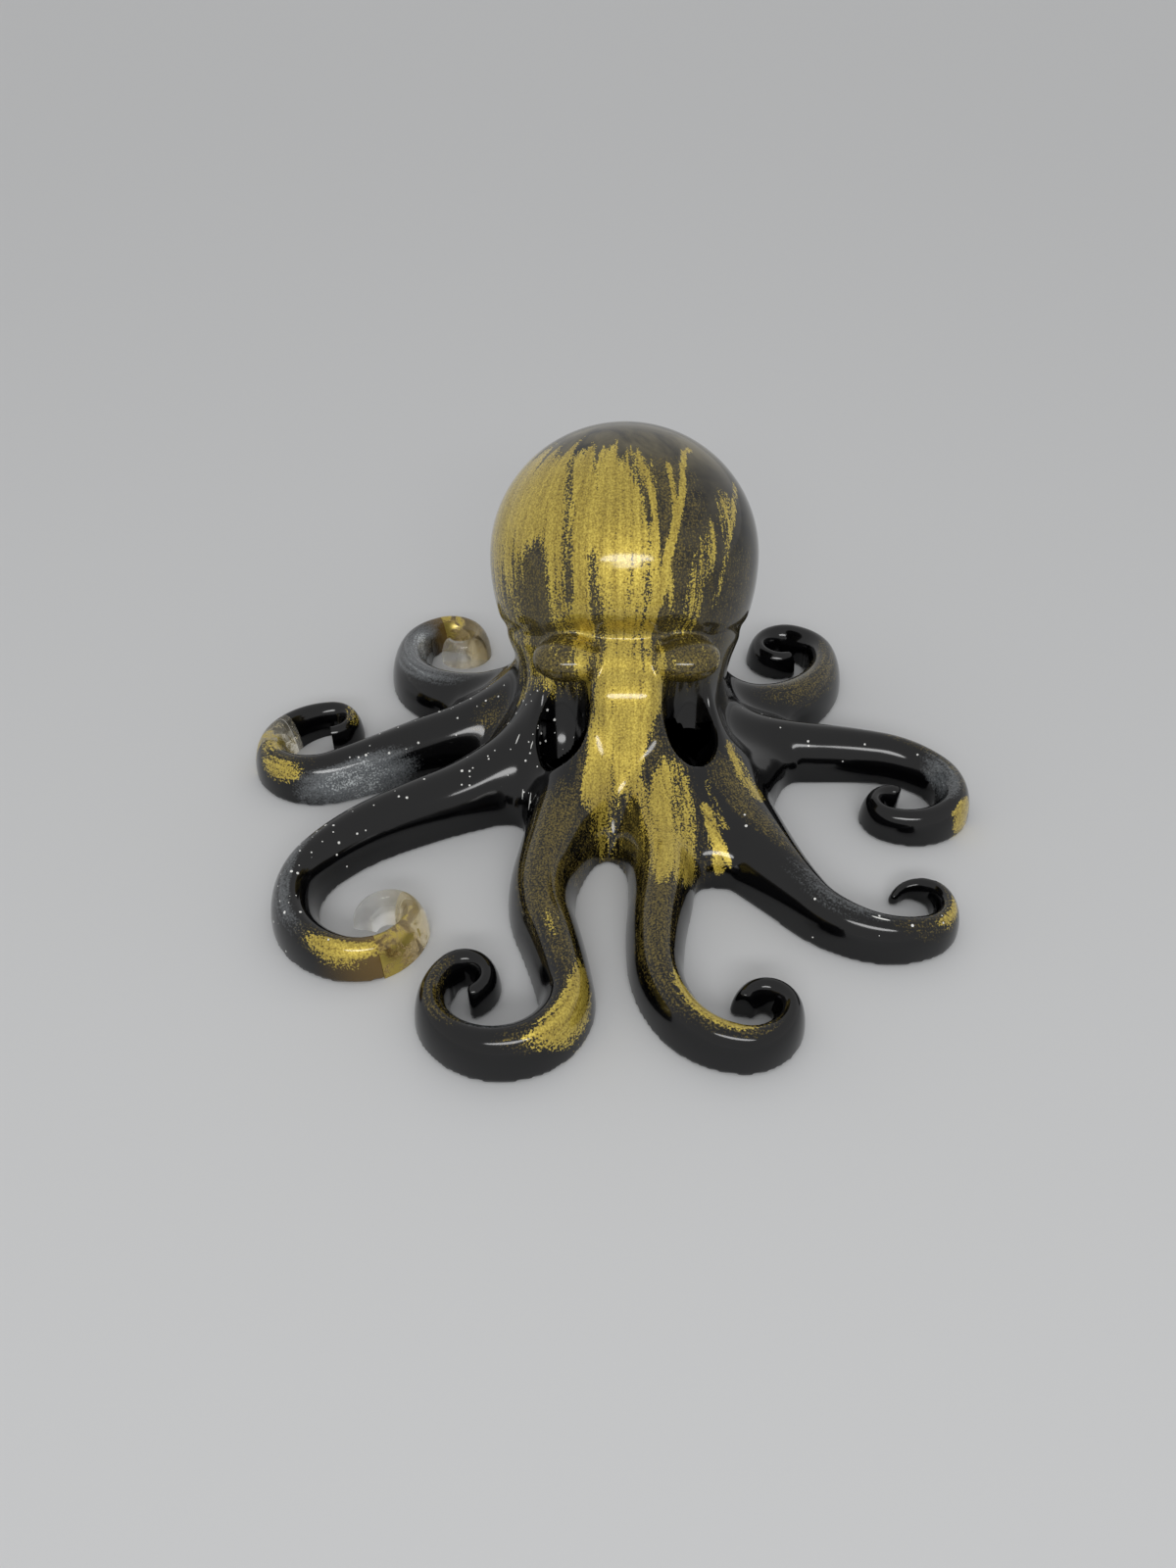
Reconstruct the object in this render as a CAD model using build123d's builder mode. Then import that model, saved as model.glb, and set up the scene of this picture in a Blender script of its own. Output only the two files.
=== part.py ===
"""Octopus ornament cast in resin: egg-shaped mantle, head with two brows, and eight curled arms.

Millimetres, +Z up, the face looks along -Y, the origin is the middle of the head's flat underside.
The casting is divided along its sculptural members and along the lines where one resin pour meets the next,
so that neighbouring pieces share one face.
"""
import os
from collections import namedtuple
from math import cos, radians, sin

from build123d import *

# Driving sizes
arm_length = 90.0  # centreline of a usual arm, from inside the body to its tip
arm_root_half_width = 6.8
arm_tip_half_width = 1.75
arm_root_height = 11.3
arm_tip_height = 5.0
shoulder_rise = 9.0  # how much higher an arm stands where it runs into the body
shoulder_flare = 3.0  # how much wider it is there, to each side
body_half_width = 17.0
body_half_depth = 20.0
mantle_radius = 22.3
mantle_top = 21.5  # from the widest ring to the crown, along the mantle's axis
neck_drop = 16.0  # from the widest ring down to the neck, along the same axis
mantle_lean = 25.0  # degrees that the axis leans back from upright
mantle_centre_back = 18.0  # centre of the widest ring, behind the origin
mantle_centre_height = 32.3
brow_half_length = 5.4
brow_radius = 3.3
brow_spread = 9.0  # from the middle plane to a brow's centre
brow_lift = 1.6  # from the neck's rim up to it, along the mantle's axis
brow_out = 1.0  # and out from the rim
eye_radius = 4.0

# Proportions
taper_power = 1.15
neck_share = 0.81  # radius of the neck as a share of mantle_radius
stem_radius_share = 0.75  # radius of the stem's foot inside the head, as a share of neck_radius
stem_drop_share = 1.6  # its depth below the widest ring, as a share of neck_drop
round_share = 0.5523  # handle length that makes a Bezier quarter round
# Half width and half depth of the head's cone and how far back it stands, as shares of the body's half sizes,
# at even levels from the floor up
cone_shares = ((1.0, 1.15, 0.15), (0.95, 0.92, 0.27), (0.76, 0.6, 0.5))
cone_height_share = 1.6  # height of the cone as a share of the neck centre's
eye_out_share = 0.9  # eye hollow in front of its brow, as a share of eye_radius
eye_down_share = 1.4  # and below it
shoulder_reach_share = 0.28  # share of an arm over which the shoulder falls away
sink_share = 0.2  # how far a blank runs below the floor before it is cut flat, as a share of arm_tip_height
tip_power = 9  # how late a pointed arm thins
stations_per_arm = 26
station_power = 1.2  # stations crowd towards the tip, where the arm curls most

# One arm: start as shares of the body's half sizes, length as a share of arm_length, pour lines as shares of
# its own length, end width as a share of arm_tip_half_width, and headings in degrees, 0 along +X, at the joints
# of a chain of equal arcs. The arms go round the body anticlockwise as seen from above.
Arm = namedtuple("Arm", "start_shares length_share pour_shares tip_share headings")
arms = {
    "front_left": Arm((-0.24, -0.25), 1.03, (), 1.0, (-115, -112, -104, -72, -79, -158, -225, -310, -526)),
    "front_right": Arm((0.28, -0.25), 0.87, (), 1.0, (-84, -89, -91, -100, -91, -60, -8, 79, 256)),
    "fore_right": Arm((0.35, -0.2), 0.81, (), 0.4, (-65, -60, -52, -51, -52, -21, 21, 103, 246)),
    "middle_right": Arm((0.17, 0.45), 0.93, (), 1.0, (-19, -17, -10, -2, -10, -51, -135, -205, -388)),
    "rear_right": Arm((0.3, 0.75), 0.8, (), 1.0, (2, -14, 0, 38, 61, 91, 152, 257, 397)),
    "rear_left": Arm((-0.33, 0.78), 0.82, (0.745, 0.905), 1.0, (170, 177, 182, 152, 113, 82, 29, -74, -238)),
    "middle_left": Arm(
        (-0.53, 0.55), 0.94, (0.675, 0.775), 1.0, (-175, -166, -156, -151, -154, -222, -293, -350, -532)
    ),
    "fore_left": Arm((-0.47, 0.03), 1.05, (0.8, 0.925), 1.0, (-152, -149, -154, -147, -126, -69, -13, 79, 259)),
}
# Where each arm meets the next one round: a point as shares of the body's half sizes, and the heading in degrees
# of the upright plane between them.
Parting = namedtuple("Parting", "point_shares heading")
partings = (
    Parting((-0.13, -1.2), -90),
    Parting((0.89, -1.37), -65),
    Parting((1.49, -0.34), -20),
    Parting((1.53, 0.43), -5),
    Parting((0.0, 1.25), 90),
    Parting((-1.76, 0.6), 184),
    Parting((-0.88, 0.15), -158),
    Parting((-0.98, -0.65), -113),
)
hub_reach_share = 1.8  # how far out the partings cut, as a share of body_half_depth
# What each stretch of an arm is called, from its root outwards.
stretch_names = {
    "fore_left": ("arm", "amber_band", "clear_tip"),
    "rear_left": ("arm", "amber_band", "clear_tip"),
    "middle_left": ("arm", "clear_bend", "curl"),
}

sink = sink_share * arm_tip_height


def place_on(arm, share):
    """Point on the floor and heading in degrees at a share of the arm's length, walked along its arcs."""
    x = arm.start_shares[0] * body_half_width
    y = arm.start_shares[1] * body_half_depth
    arcs = len(arm.headings) - 1
    arc_length = arm_length * arm.length_share / arcs
    heading = arm.headings[0]
    for first, last, number in zip(arm.headings, arm.headings[1:], range(arcs)):
        walked = min(max(share * arcs - number, 0), 1)
        half_turn = radians(last - first) * walked / 2
        chord = arc_length * walked * (sin(half_turn) / half_turn if half_turn else 1)
        x += chord * cos(radians(heading) + half_turn)
        y += chord * sin(radians(heading) + half_turn)
        heading += (last - first) * walked
    return x, y, heading


def section(arm, share):
    """Sketch across the arm: an arch whose upright feet run down below the floor."""
    x, y, heading = place_on(arm, share)
    ahead = (cos(radians(heading)), sin(radians(heading)), 0)
    left = (-ahead[1], ahead[0], 0)
    rest = (1 - share) ** taper_power
    point = 1 - (1 - arm.tip_share) * share ** tip_power
    shoulder = max(1 - share / shoulder_reach_share, 0) ** 2
    half_width = arm_tip_half_width + (arm_root_half_width - arm_tip_half_width) * rest
    half_width = half_width * point + shoulder_flare * shoulder
    height = arm_tip_height + (arm_root_height - arm_tip_height) * rest
    height = height * point + shoulder_rise * shoulder
    crown = (height + sink / 4) * 4 / 3  # the handles that bring the arch's top to the height
    with BuildSketch(Plane(origin=(x, y, 0), x_dir=left, z_dir=ahead)) as sketch:
        with BuildLine():
            Bezier((-half_width, -sink), (-half_width, crown), (half_width, crown), (half_width, -sink))
            Line((half_width, -sink), (-half_width, -sink))
        make_face()
    return sketch.sketch


def stretch(arm, first_share, last_share):
    """Solid of one stretch of an arm, lofted through its stations."""
    start, end = (1 - (1 - share) ** (1 / station_power) for share in (first_share, last_share))
    spans = max(round((end - start) * stations_per_arm), 2)
    steps = [start + (end - start) * number / spans for number in range(spans + 1)]
    shares = [1 - (1 - step) ** station_power for step in steps]
    with BuildPart() as solid:
        loft([section(arm, share) for share in shares], ruled=True)
    return solid.part


neck_radius = neck_share * mantle_radius
lean = radians(mantle_lean)
mantle_axis = Vector(0, sin(lean), cos(lean))
mantle_centre = Vector(0, mantle_centre_back, mantle_centre_height)
neck_centre = mantle_centre - mantle_axis * neck_drop
neck_plane = Plane(origin=neck_centre, x_dir=(1, 0, 0), z_dir=mantle_axis)
mantle_plane = Plane(origin=mantle_centre, x_dir=(1, 0, 0), z_dir=(0, -cos(lean), sin(lean)))

# Egg with its stem, before it is parted at the neck
with BuildPart() as egg:
    with BuildSketch(mantle_plane):
        with BuildLine():
            Bezier(
                (mantle_radius, 0),
                (mantle_radius, mantle_top * round_share),
                (mantle_radius * round_share, mantle_top),
                (0, mantle_top),
            )
            TangentArc((mantle_radius, 0), (neck_radius, -neck_drop), tangent=(0, -1))
            Polyline(
                (neck_radius, -neck_drop),
                (neck_radius * stem_radius_share, -neck_drop * stem_drop_share),
                (0, -neck_drop * stem_drop_share),
                (0, mantle_top),
            )
        make_face()
    revolve(axis=Axis(mantle_centre, mantle_axis))

with BuildPart() as mantle:
    add(egg.part)
    split(bisect_by=neck_plane, keep=Keep.TOP)

front = Vector(0, -cos(lean), sin(lean))
rim_reach = (neck_radius**2 - brow_spread**2) ** 0.5
brow_middle = neck_centre + front * (rim_reach + brow_out) + mantle_axis * brow_lift
brow_centres = {
    "left_brow": brow_middle - Vector(brow_spread, 0, 0),
    "right_brow": brow_middle + Vector(brow_spread, 0, 0),
}

# Eye hollows, one below and in front of each brow
with BuildPart() as eyes:
    for brow_centre in brow_centres.values():
        with Locations(brow_centre - Vector(0, eye_radius * eye_out_share, eye_radius * eye_down_share)):
            Sphere(eye_radius)

# Cone that the face and the arms' roots spread from, before it is parted at the neck
cone_height = neck_centre.Z * cone_height_share
with BuildPart() as cone:
    for number, (width_share, depth_share, back_share) in enumerate(cone_shares):
        level = -sink + (cone_height + sink) * number / (len(cone_shares) - 1)
        with BuildSketch(Plane(origin=(0, body_half_depth * back_share, level))):
            Ellipse(body_half_width * width_share, body_half_depth * depth_share)
    loft()

# Head: cone and stem below the neck, in one solid
with BuildPart() as head:
    add(cone.part)
    add(egg.part)
    split(bisect_by=neck_plane, keep=Keep.BOTTOM)
    split(bisect_by=Plane.XY, keep=Keep.TOP)
    add(eyes.part, mode=Mode.SUBTRACT)

# Brows: round bars laid on the rim of the neck
brows = {}
for name, brow_centre in brow_centres.items():
    with BuildPart() as brow:
        with BuildSketch(Plane(origin=brow_centre)):
            with BuildLine():
                Bezier(
                    (-brow_half_length, 0),
                    (-brow_half_length, brow_radius * 4 / 3),
                    (brow_half_length, brow_radius * 4 / 3),
                    (brow_half_length, 0),
                )
                Line((-brow_half_length, 0), (brow_half_length, 0))
            make_face()
        revolve(axis=Axis(brow_centre, (1, 0, 0)))
        add(mantle.part, mode=Mode.SUBTRACT)
        add(head.part, mode=Mode.SUBTRACT)
    brows[name] = brow

os.makedirs("parts", exist_ok=True)


def save(part, name):
    """Name a finished sub-part and write it out."""
    part.label = name
    export_step(part, f"parts/{name}.step")


save(mantle.part, "mantle")
save(head.part, "head")
for name, brow in brows.items():
    save(brow.part, name)


def beyond(parting, side):
    """Solid that takes away what lies on one side of a parting, near the body: side 1 is its left, -1 its right."""
    across = radians(parting.heading) + side * radians(90)
    origin = (parting.point_shares[0] * body_half_width, parting.point_shares[1] * body_half_depth, 0)
    with BuildPart() as block:
        with BuildSketch(Plane.XY.offset(-sink)):
            Circle(hub_reach_share * body_half_depth)
        extrude(amount=sink + cone_height)
        split(bisect_by=Plane(origin=origin, z_dir=(cos(across), sin(across), 0)), keep=Keep.TOP)
    return block.part


# Arms, one sub-part for each stretch between body, pour lines and tip
for number, (arm_name, arm) in enumerate(arms.items()):
    bounds = (0, *arm.pour_shares, 1)
    for stretch_name, first, last in zip(stretch_names.get(arm_name, ("arm",)), bounds, bounds[1:]):
        with BuildPart() as piece:
            add(stretch(arm, first, last))
            split(bisect_by=Plane.XY, keep=Keep.TOP)
            if first == 0:
                for cutter in (eyes, cone, egg):
                    add(cutter.part, mode=Mode.SUBTRACT)
                add(beyond(partings[number], 1), mode=Mode.SUBTRACT)
                add(beyond(partings[number - 1], -1), mode=Mode.SUBTRACT)
        save(piece.part, f"{arm_name}_{stretch_name}")
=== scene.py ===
# %% [markdown]
# # An octopus cast in black resin with gold mica
#
# The real ornament is one casting. Its maker poured black, amber and clear resin into an open mould and
# let gold mica and silver pearl run through the black one. This lesson loads the CAD frame, grows one
# smooth skin over the mantle, head and arms, parts that skin into the frame's pieces, sweeps the
# see-through ends, and then mixes the resins. Sizes are in millimetres, and one factor turns them into
# Blender's metres.

from collections import namedtuple

import bmesh
import bpy
import numpy as np
import openvdb
from mathutils import Euler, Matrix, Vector


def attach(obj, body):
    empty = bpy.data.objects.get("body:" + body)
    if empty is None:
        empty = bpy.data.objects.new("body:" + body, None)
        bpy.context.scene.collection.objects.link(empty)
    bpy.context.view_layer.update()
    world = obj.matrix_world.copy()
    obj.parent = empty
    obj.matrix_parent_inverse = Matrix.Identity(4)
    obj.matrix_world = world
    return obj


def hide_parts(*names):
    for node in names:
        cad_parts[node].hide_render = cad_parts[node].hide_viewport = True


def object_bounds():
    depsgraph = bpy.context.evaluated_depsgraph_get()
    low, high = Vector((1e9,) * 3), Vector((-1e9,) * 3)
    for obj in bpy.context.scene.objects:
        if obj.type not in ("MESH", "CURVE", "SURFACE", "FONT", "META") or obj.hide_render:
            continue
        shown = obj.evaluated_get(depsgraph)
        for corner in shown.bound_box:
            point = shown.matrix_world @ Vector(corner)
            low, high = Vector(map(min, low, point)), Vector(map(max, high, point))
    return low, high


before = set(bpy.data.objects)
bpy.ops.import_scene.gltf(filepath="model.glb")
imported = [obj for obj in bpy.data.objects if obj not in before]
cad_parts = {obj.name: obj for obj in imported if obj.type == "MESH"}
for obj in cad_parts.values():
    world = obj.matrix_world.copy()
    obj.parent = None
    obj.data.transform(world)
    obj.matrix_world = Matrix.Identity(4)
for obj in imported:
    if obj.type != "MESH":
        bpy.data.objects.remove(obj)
cad_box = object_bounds()
mm = 0.001
print("frame nodes:", len(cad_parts))
print("CAD box:", [tuple(round(c, 4) for c in corner) for corner in cad_box])

# %% [markdown]
# ## The eight centrelines
#
# Every arm lies flat on the table and follows a chain of equal arcs, so its heading changes evenly
# between a few joints. The numbers are those of the CAD model: where the arm starts, how long it is, how
# wide its end is, and the headings in degrees at the joints. Walking along the headings in small steps
# gives the line on the floor.

# %% Walk the centrelines
Arm = namedtuple("Arm", "start length tip_share headings")
arms = {
    "front_left": Arm((-4.1, -5.0), 92.7, 1.0, (-115, -112, -104, -72, -79, -158, -225, -310, -526)),
    "front_right": Arm((4.8, -5.0), 78.3, 1.0, (-84, -89, -91, -100, -91, -60, -8, 79, 256)),
    "fore_right": Arm((6.0, -4.0), 72.9, 0.4, (-65, -60, -52, -51, -52, -21, 21, 103, 246)),
    "middle_right": Arm((2.9, 9.0), 83.7, 1.0, (-19, -17, -10, -2, -10, -51, -135, -205, -388)),
    "rear_right": Arm((5.1, 15.0), 72.0, 1.0, (2, -14, 0, 38, 61, 91, 152, 257, 397)),
    "rear_left": Arm((-5.6, 15.6), 73.8, 1.0, (170, 177, 182, 152, 113, 82, 29, -74, -238)),
    "middle_left": Arm((-9.0, 11.0), 84.6, 1.0, (-175, -166, -156, -151, -154, -222, -293, -350, -532)),
    "fore_left": Arm((-8.0, 0.6), 94.5, 1.0, (-152, -149, -154, -147, -126, -69, -13, 79, 259)),
}
walk_steps = 240


def centreline(arm):
    """Points on the floor and unit headings at even steps along an arm."""
    shares = np.linspace(0, 1, walk_steps + 1)
    joints = np.linspace(0, 1, len(arm.headings))
    headings = np.radians(np.interp(shares, joints, arm.headings))
    between = (headings[1:] + headings[:-1]) / 2
    strides = np.stack([np.cos(between), np.sin(between)], 1) * arm.length / walk_steps
    points = np.array(arm.start) + np.concatenate([np.zeros((1, 2)), np.cumsum(strides, 0)])
    return points, np.stack([np.cos(headings), np.sin(headings)], 1)


lines = {name: centreline(arm) for name, arm in arms.items()}
print("arm ends:", {name: np.round(points[-1], 1).tolist() for name, (points, _) in lines.items()})

# %% [markdown]
# ## Fields instead of surfaces
#
# In the casting nothing is joined: arms, head and mantle melt into one another with soft webs.
# Overlapping meshes would show hard creases there. So each member is written as a field, a number that is
# negative inside it, zero on its skin and positive outside, about equal to the distance in millimetres. A
# smooth minimum of two such fields is their union with a fillet. An arm's cross-section is a half ellipse
# that narrows and lowers towards the tip, and flares where it leaves the body. One arm is broader still
# on its outer side there.

# %% Field of an arm
root_half_width, tip_half_width = 6.8, 1.75
root_height, tip_height = 11.3, 5.0
taper_power = 1.15
shoulder_rise, shoulder_flare, shoulder_reach = 9.0, 3.0, 0.28
tip_power = 9
tip_rounding = 0.5
broad_flanks, flank_shares = {"fore_right": 7.5}, (0.15, 0.55)
block_size = 20000
tiny = 1e-6


def arm_size(arm, share):
    """Half width and height of an arm at a share of its length."""
    rest = (1 - share) ** taper_power
    point = 1 - (1 - arm.tip_share) * share**tip_power
    shoulder = np.maximum(1 - share / shoulder_reach, 0) ** 2
    half_width = tip_half_width + (root_half_width - tip_half_width) * rest
    height = tip_height + (root_height - tip_height) * rest
    return half_width * point + shoulder_flare * shoulder, height * point + shoulder_rise * shoulder


def place_along(name, x, y):
    """Share of the arm's length, offset to its left and distance past its end, for points on the floor."""
    points, headings = lines[name]
    shape = np.shape(x)
    spots = np.stack([np.ravel(x), np.ravel(y)], 1).astype(np.float32)
    nearest = np.empty(len(spots), np.int64)
    for first in range(0, len(spots), block_size):
        block = spots[first : first + block_size]
        reach = (block[:, :1] - points[:, 0]) ** 2 + (block[:, 1:] - points[:, 1]) ** 2
        nearest[first : first + block_size] = reach.argmin(1)
    gap = spots - points[nearest]
    ahead = (gap * headings[nearest]).sum(1)
    offset = headings[nearest][:, 0] * gap[:, 1] - headings[nearest][:, 1] * gap[:, 0]
    share = nearest / walk_steps + ahead / arms[name].length
    past = (share - 1) * arms[name].length
    behind = np.minimum(share, 0) * arms[name].length
    offset = np.where(behind < 0, np.sign(offset) * np.hypot(offset, behind), offset)
    return [part.reshape(shape) for part in (np.clip(share, 0, 1), offset, past)]


def dome(across, up, half_width, height):
    """Near distance to a half ellipse that stands on the floor."""
    level = np.sqrt((across / half_width) ** 2 + (up / height) ** 2) + tiny
    slope = np.sqrt((across / half_width**2) ** 2 + (up / height**2) ** 2) + tiny
    return level * (level - 1) / slope


def join(one, other, fillet):
    """Smooth minimum: the union of two fields with a fillet."""
    blend = np.clip(0.5 + 0.5 * (other - one) / fillet, 0, 1)
    return other + (one - other) * blend - fillet * blend * (1 - blend)


def carve(one, other, fillet):
    """Smooth maximum: the first field where the second is also inside."""
    return -join(-one, -other, fillet)


def ramp(value, start, end):
    """Smooth step from 0 at start to 1 at end."""
    part = np.clip((value - start) / (end - start), 0, 1)
    return part * part * (3 - 2 * part)


def arm_field(name, place, z):
    """Field of one arm with a blunt end, and with its broad flank if it has one."""
    share, offset, past = place
    half_width, height = arm_size(arms[name], share)
    extra = broad_flanks.get(name, 0) * ramp(share, 0, flank_shares[0]) * (1 - ramp(share, *flank_shares))
    return carve(dome(offset - extra / 2, z, half_width + extra / 2, height), past, tip_rounding)


for place, share in {"root": 0, "tip": 1}.items():
    print("arm's", place, "half width and height:", np.round(arm_size(arms["front_left"], share), 2).tolist())

# %% [markdown]
# ## Fields of the body
#
# The mantle is an egg that leans back. Its lower end is a stem in the head, a cone on an oval foot. A
# groove parts the mantle from the forehead, whose shelf slopes down to an edge, with the flat face below
# it. Under each brow a long hollow is carved for the eye. The brow is added after it, and so stays whole.
# The webs between the arms' roots are the fillets of their union, wider at two places and tighter in
# front of the face.

# %% Field of the mantle, head and brows
mantle_radius, mantle_top = 22.3, 21.5
neck_drop, neck_radius = 16.0, 18.06
stem_radius, stem_drop = 13.5, 25.6
lean = np.radians(25.0)
mantle_axis = np.array([0, np.sin(lean), np.cos(lean)])
mantle_front = np.array([0, -np.cos(lean), np.sin(lean)])
mantle_centre = np.array([0, 18.0, 32.3])
neck_centre = mantle_centre - mantle_axis * neck_drop
flank_radius = ((mantle_radius - neck_radius) ** 2 + neck_drop**2) / (2 * (mantle_radius - neck_radius))
cone_height_share, cone_sink = 1.6, 1.0
cone_height = neck_centre[2] * cone_height_share
cone_levels = np.array([-cone_sink, (cone_height - cone_sink) / 2, cone_height])
cone_half_widths, cone_half_depths = (17.0, 16.15, 12.9), (23.0, 18.4, 12.0)
cone_backs = (3.0, 5.4, 10.0)
brow_spread, brow_half_length = 9.0, 5.6
brow_lift, brow_out = 1.5, 1.8
brow_reach = np.sqrt(neck_radius**2 - brow_spread**2) + brow_out
brow_depth, brow_thickness = 4.3, 3.4
eye_shift, eye_radii, eye_slant = np.array([1.2, -3.4, -8.2]), (4.4, 5.2, 10.4), 0.25
forehead_edge, forehead_half_width = (-9.6, 23.9), 6.0
forehead_foot, forehead_top, forehead_back = 8.0, 29.0, 10.0
shelf_tilt, face_tilt = np.radians(48.0), np.radians(21.0)
groove_out, groove_along, groove_radius = 20.6, -11.5, 2.2
groove_half_angles = (20.0, 42.0)
stem_slope, cone_slope = 0.9, 0.85  # nearest way to these leaning skins, as a share of the level way


def round_mantle(x, y, z):
    """Distance from the leaned axis, height along it above the widest ring, and angle from the face."""
    side, back, up = x, y - mantle_centre[1], z - mantle_centre[2]
    along = back * mantle_axis[1] + up * mantle_axis[2]
    forward = back * mantle_front[1] + up * mantle_front[2]
    return np.hypot(side, forward), along, np.arctan2(side, forward)


def mantle_field(x, y, z):
    """Field of the egg-shaped mantle with its neck and the stem inside the head."""
    out, along, _ = round_mantle(x, y, z)
    top = dome(out, np.maximum(along, 0), mantle_radius, mantle_top)
    flank = np.sqrt(np.maximum(flank_radius**2 - along**2, 1)) + mantle_radius - flank_radius
    stem = np.interp(-along, [neck_drop, stem_drop], [neck_radius, stem_radius])
    radius = np.where(along < -neck_drop, stem, flank)
    low = (out - radius) * stem_slope
    return np.maximum(np.where(along > 0, top, low), -along - stem_drop)


def head_field(x, y, z):
    """Field of the cone that the face and the arms' roots spread from."""
    half_width = np.interp(z, cone_levels, cone_half_widths)
    half_depth = np.interp(z, cone_levels, cone_half_depths)
    back = np.interp(z, cone_levels, cone_backs)
    return np.maximum(dome(x, y - back, half_width, half_depth) * cone_slope, z - cone_height)


def ball(x, y, z, centre, radii):
    """Field of an ellipsoid."""
    parts = [(v - c) / r for v, c, r in zip((x, y, z), centre, radii)]
    level = np.sqrt(sum(part**2 for part in parts)) + tiny
    slope = np.sqrt(sum((part / r) ** 2 for part, r in zip(parts, radii))) + tiny
    return level * (level - 1) / slope


brow_middle = neck_centre + mantle_front * brow_reach + mantle_axis * brow_lift
mirrors = {"left": np.array([-1, 1, 1]), "right": np.array([1, 1, 1])}
right_brow = brow_middle + [brow_spread, 0, 0]
brow_centres = {side: right_brow * mirror for side, mirror in mirrors.items()}
eye_centres = {side: (right_brow + eye_shift) * mirror for side, mirror in mirrors.items()}
brow_radii = (brow_half_length, brow_depth, brow_thickness)
neck_fillet, groove_fillet, brow_fillet, eye_fillet = 5.0, 2.5, 1.2, 1.4
forehead_rounding, forehead_side_rounding, forehead_fillet = 1.0, 4.0, 1.2
brow_skin = 0.3
hub_back = 5.0
web_fillet, web_reach, web_fade = 6.0, 30.0, 14.0
least_web_share, web_low_share = 0.02, 0.25
Web = namedtuple("Web", "x y radius extra top")
web_changes = (
    Web(22.0, -6.0, 9.0, 7.0, 13.0),
    Web(14.0, -25.0, 7.0, 6.0, 18.0),
    Web(0.0, -13.0, 6.0, -4.0, 90.0),
)


def forehead_field(x, y, z):
    """Field of the forehead: a shelf that slopes to an edge, and the face's plane below it."""
    forward, up = forehead_edge[0] - y, z - forehead_edge[1]
    shelf = forward * np.cos(shelf_tilt) + up * np.sin(shelf_tilt)
    face = forward * np.cos(face_tilt) + up * np.sin(face_tilt)
    front = carve(shelf, face, forehead_rounding)
    wedge = carve(front, np.abs(x) - forehead_half_width, forehead_side_rounding)
    return np.maximum(np.maximum(wedge, forehead_foot - z), np.maximum(z - forehead_top, y - forehead_back))


def core_field(x, y, z):
    """Field of the mantle and head, with the groove over the forehead and the forehead's shelf."""
    body = join(mantle_field(x, y, z), head_field(x, y, z), neck_fillet)
    out, along, angle = round_mantle(x, y, z)
    groove = groove_radius * (1 - ramp(np.abs(np.degrees(angle)), *groove_half_angles))
    body = carve(body, groove - np.hypot(out - groove_out, along - groove_along), groove_fillet)
    return join(body, forehead_field(x, y, z), forehead_fillet)


def casting_field(x, y, z, places):
    """Field of the whole casting above the table."""
    body = core_field(x, y, z)
    from_hub = np.hypot(x, y - hub_back)
    fillet = web_fillet * np.clip(1 - (from_hub - web_reach) / web_fade, least_web_share, 1)
    for web in web_changes:
        nearness = np.exp(-((x - web.x) ** 2 + (y - web.y) ** 2) / web.radius**2)
        fillet = fillet + web.extra * nearness * (1 - ramp(z, web.top * web_low_share, web.top))
    for name in arms:
        body = join(body, arm_field(name, places[name], z), fillet)
    for side in mirrors:
        leaned_y = y - eye_slant * (z - eye_centres[side][2])
        body = carve(body, -ball(x, leaned_y, z, eye_centres[side], eye_radii), eye_fillet)
        body = join(body, ball(x, y, z, brow_centres[side], brow_radii), brow_fillet)
    return np.maximum(body, -z)


print("mantle crown at", np.round(mantle_centre + mantle_axis * mantle_top, 1).tolist())

# %% [markdown]
# ## From field to skin
#
# A grid of field values is turned into quads where the value passes zero, as a contour map is drawn from
# heights. The grid is fine enough that no step shows.

# %% Mesh the skin
cell = 0.5
margin = 2.0
low = np.array(cad_box[0]) / mm - margin
high = np.array(cad_box[1]) / mm + margin
axes = [np.arange(a, b, cell, dtype=np.float32) for a, b in zip(low, high)]
floor_x, floor_y = np.meshgrid(axes[0], axes[1], indexing="ij")
places = {name: place_along(name, floor_x, floor_y) for name in arms}
levels = [casting_field(floor_x, floor_y, level, places) for level in axes[2]]
values = np.clip(np.stack(levels, 2), -margin, margin).astype(np.float32)
volume = openvdb.FloatGrid(margin)
volume.copyFromArray(values)
corners, quads = volume.convertToQuads(0.0)
corners = corners * cell + np.array([axis[0] for axis in axes])
print("skin:", len(corners), "corners,", len(quads), "quads")

# %% [markdown]
# ## Where a point of the skin belongs
#
# The frame has separate nodes, so the skin is parted along the same lines: the neck, the brows, and the
# line where an arm's own field takes over from the body's. Each part keeps the slope of the whole field
# as its normals, and so the gloss runs on over the parting without a line. The same numbers, share along
# an arm, offset across it and angle round the mantle, will carry the streaks of mica later.

# %% Part the skin
slopes = np.stack(np.gradient(values, cell), -1)


def read_grid(grid, spots):
    """Values of a grid at any spots, straight between its cells."""
    steps = (spots - np.array([axis[0] for axis in axes])) / cell
    base = np.clip(np.floor(steps).astype(int), 0, np.array(values.shape) - 2)
    rest = steps - base
    total = 0
    for i in (0, 1):
        for j in (0, 1):
            for k in (0, 1):
                weight = np.abs(1 - i - rest[:, 0]) * np.abs(1 - j - rest[:, 1]) * np.abs(1 - k - rest[:, 2])
                total = total + weight[:, None] * grid[base[:, 0] + i, base[:, 1] + j, base[:, 2] + k]
    return total


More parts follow.
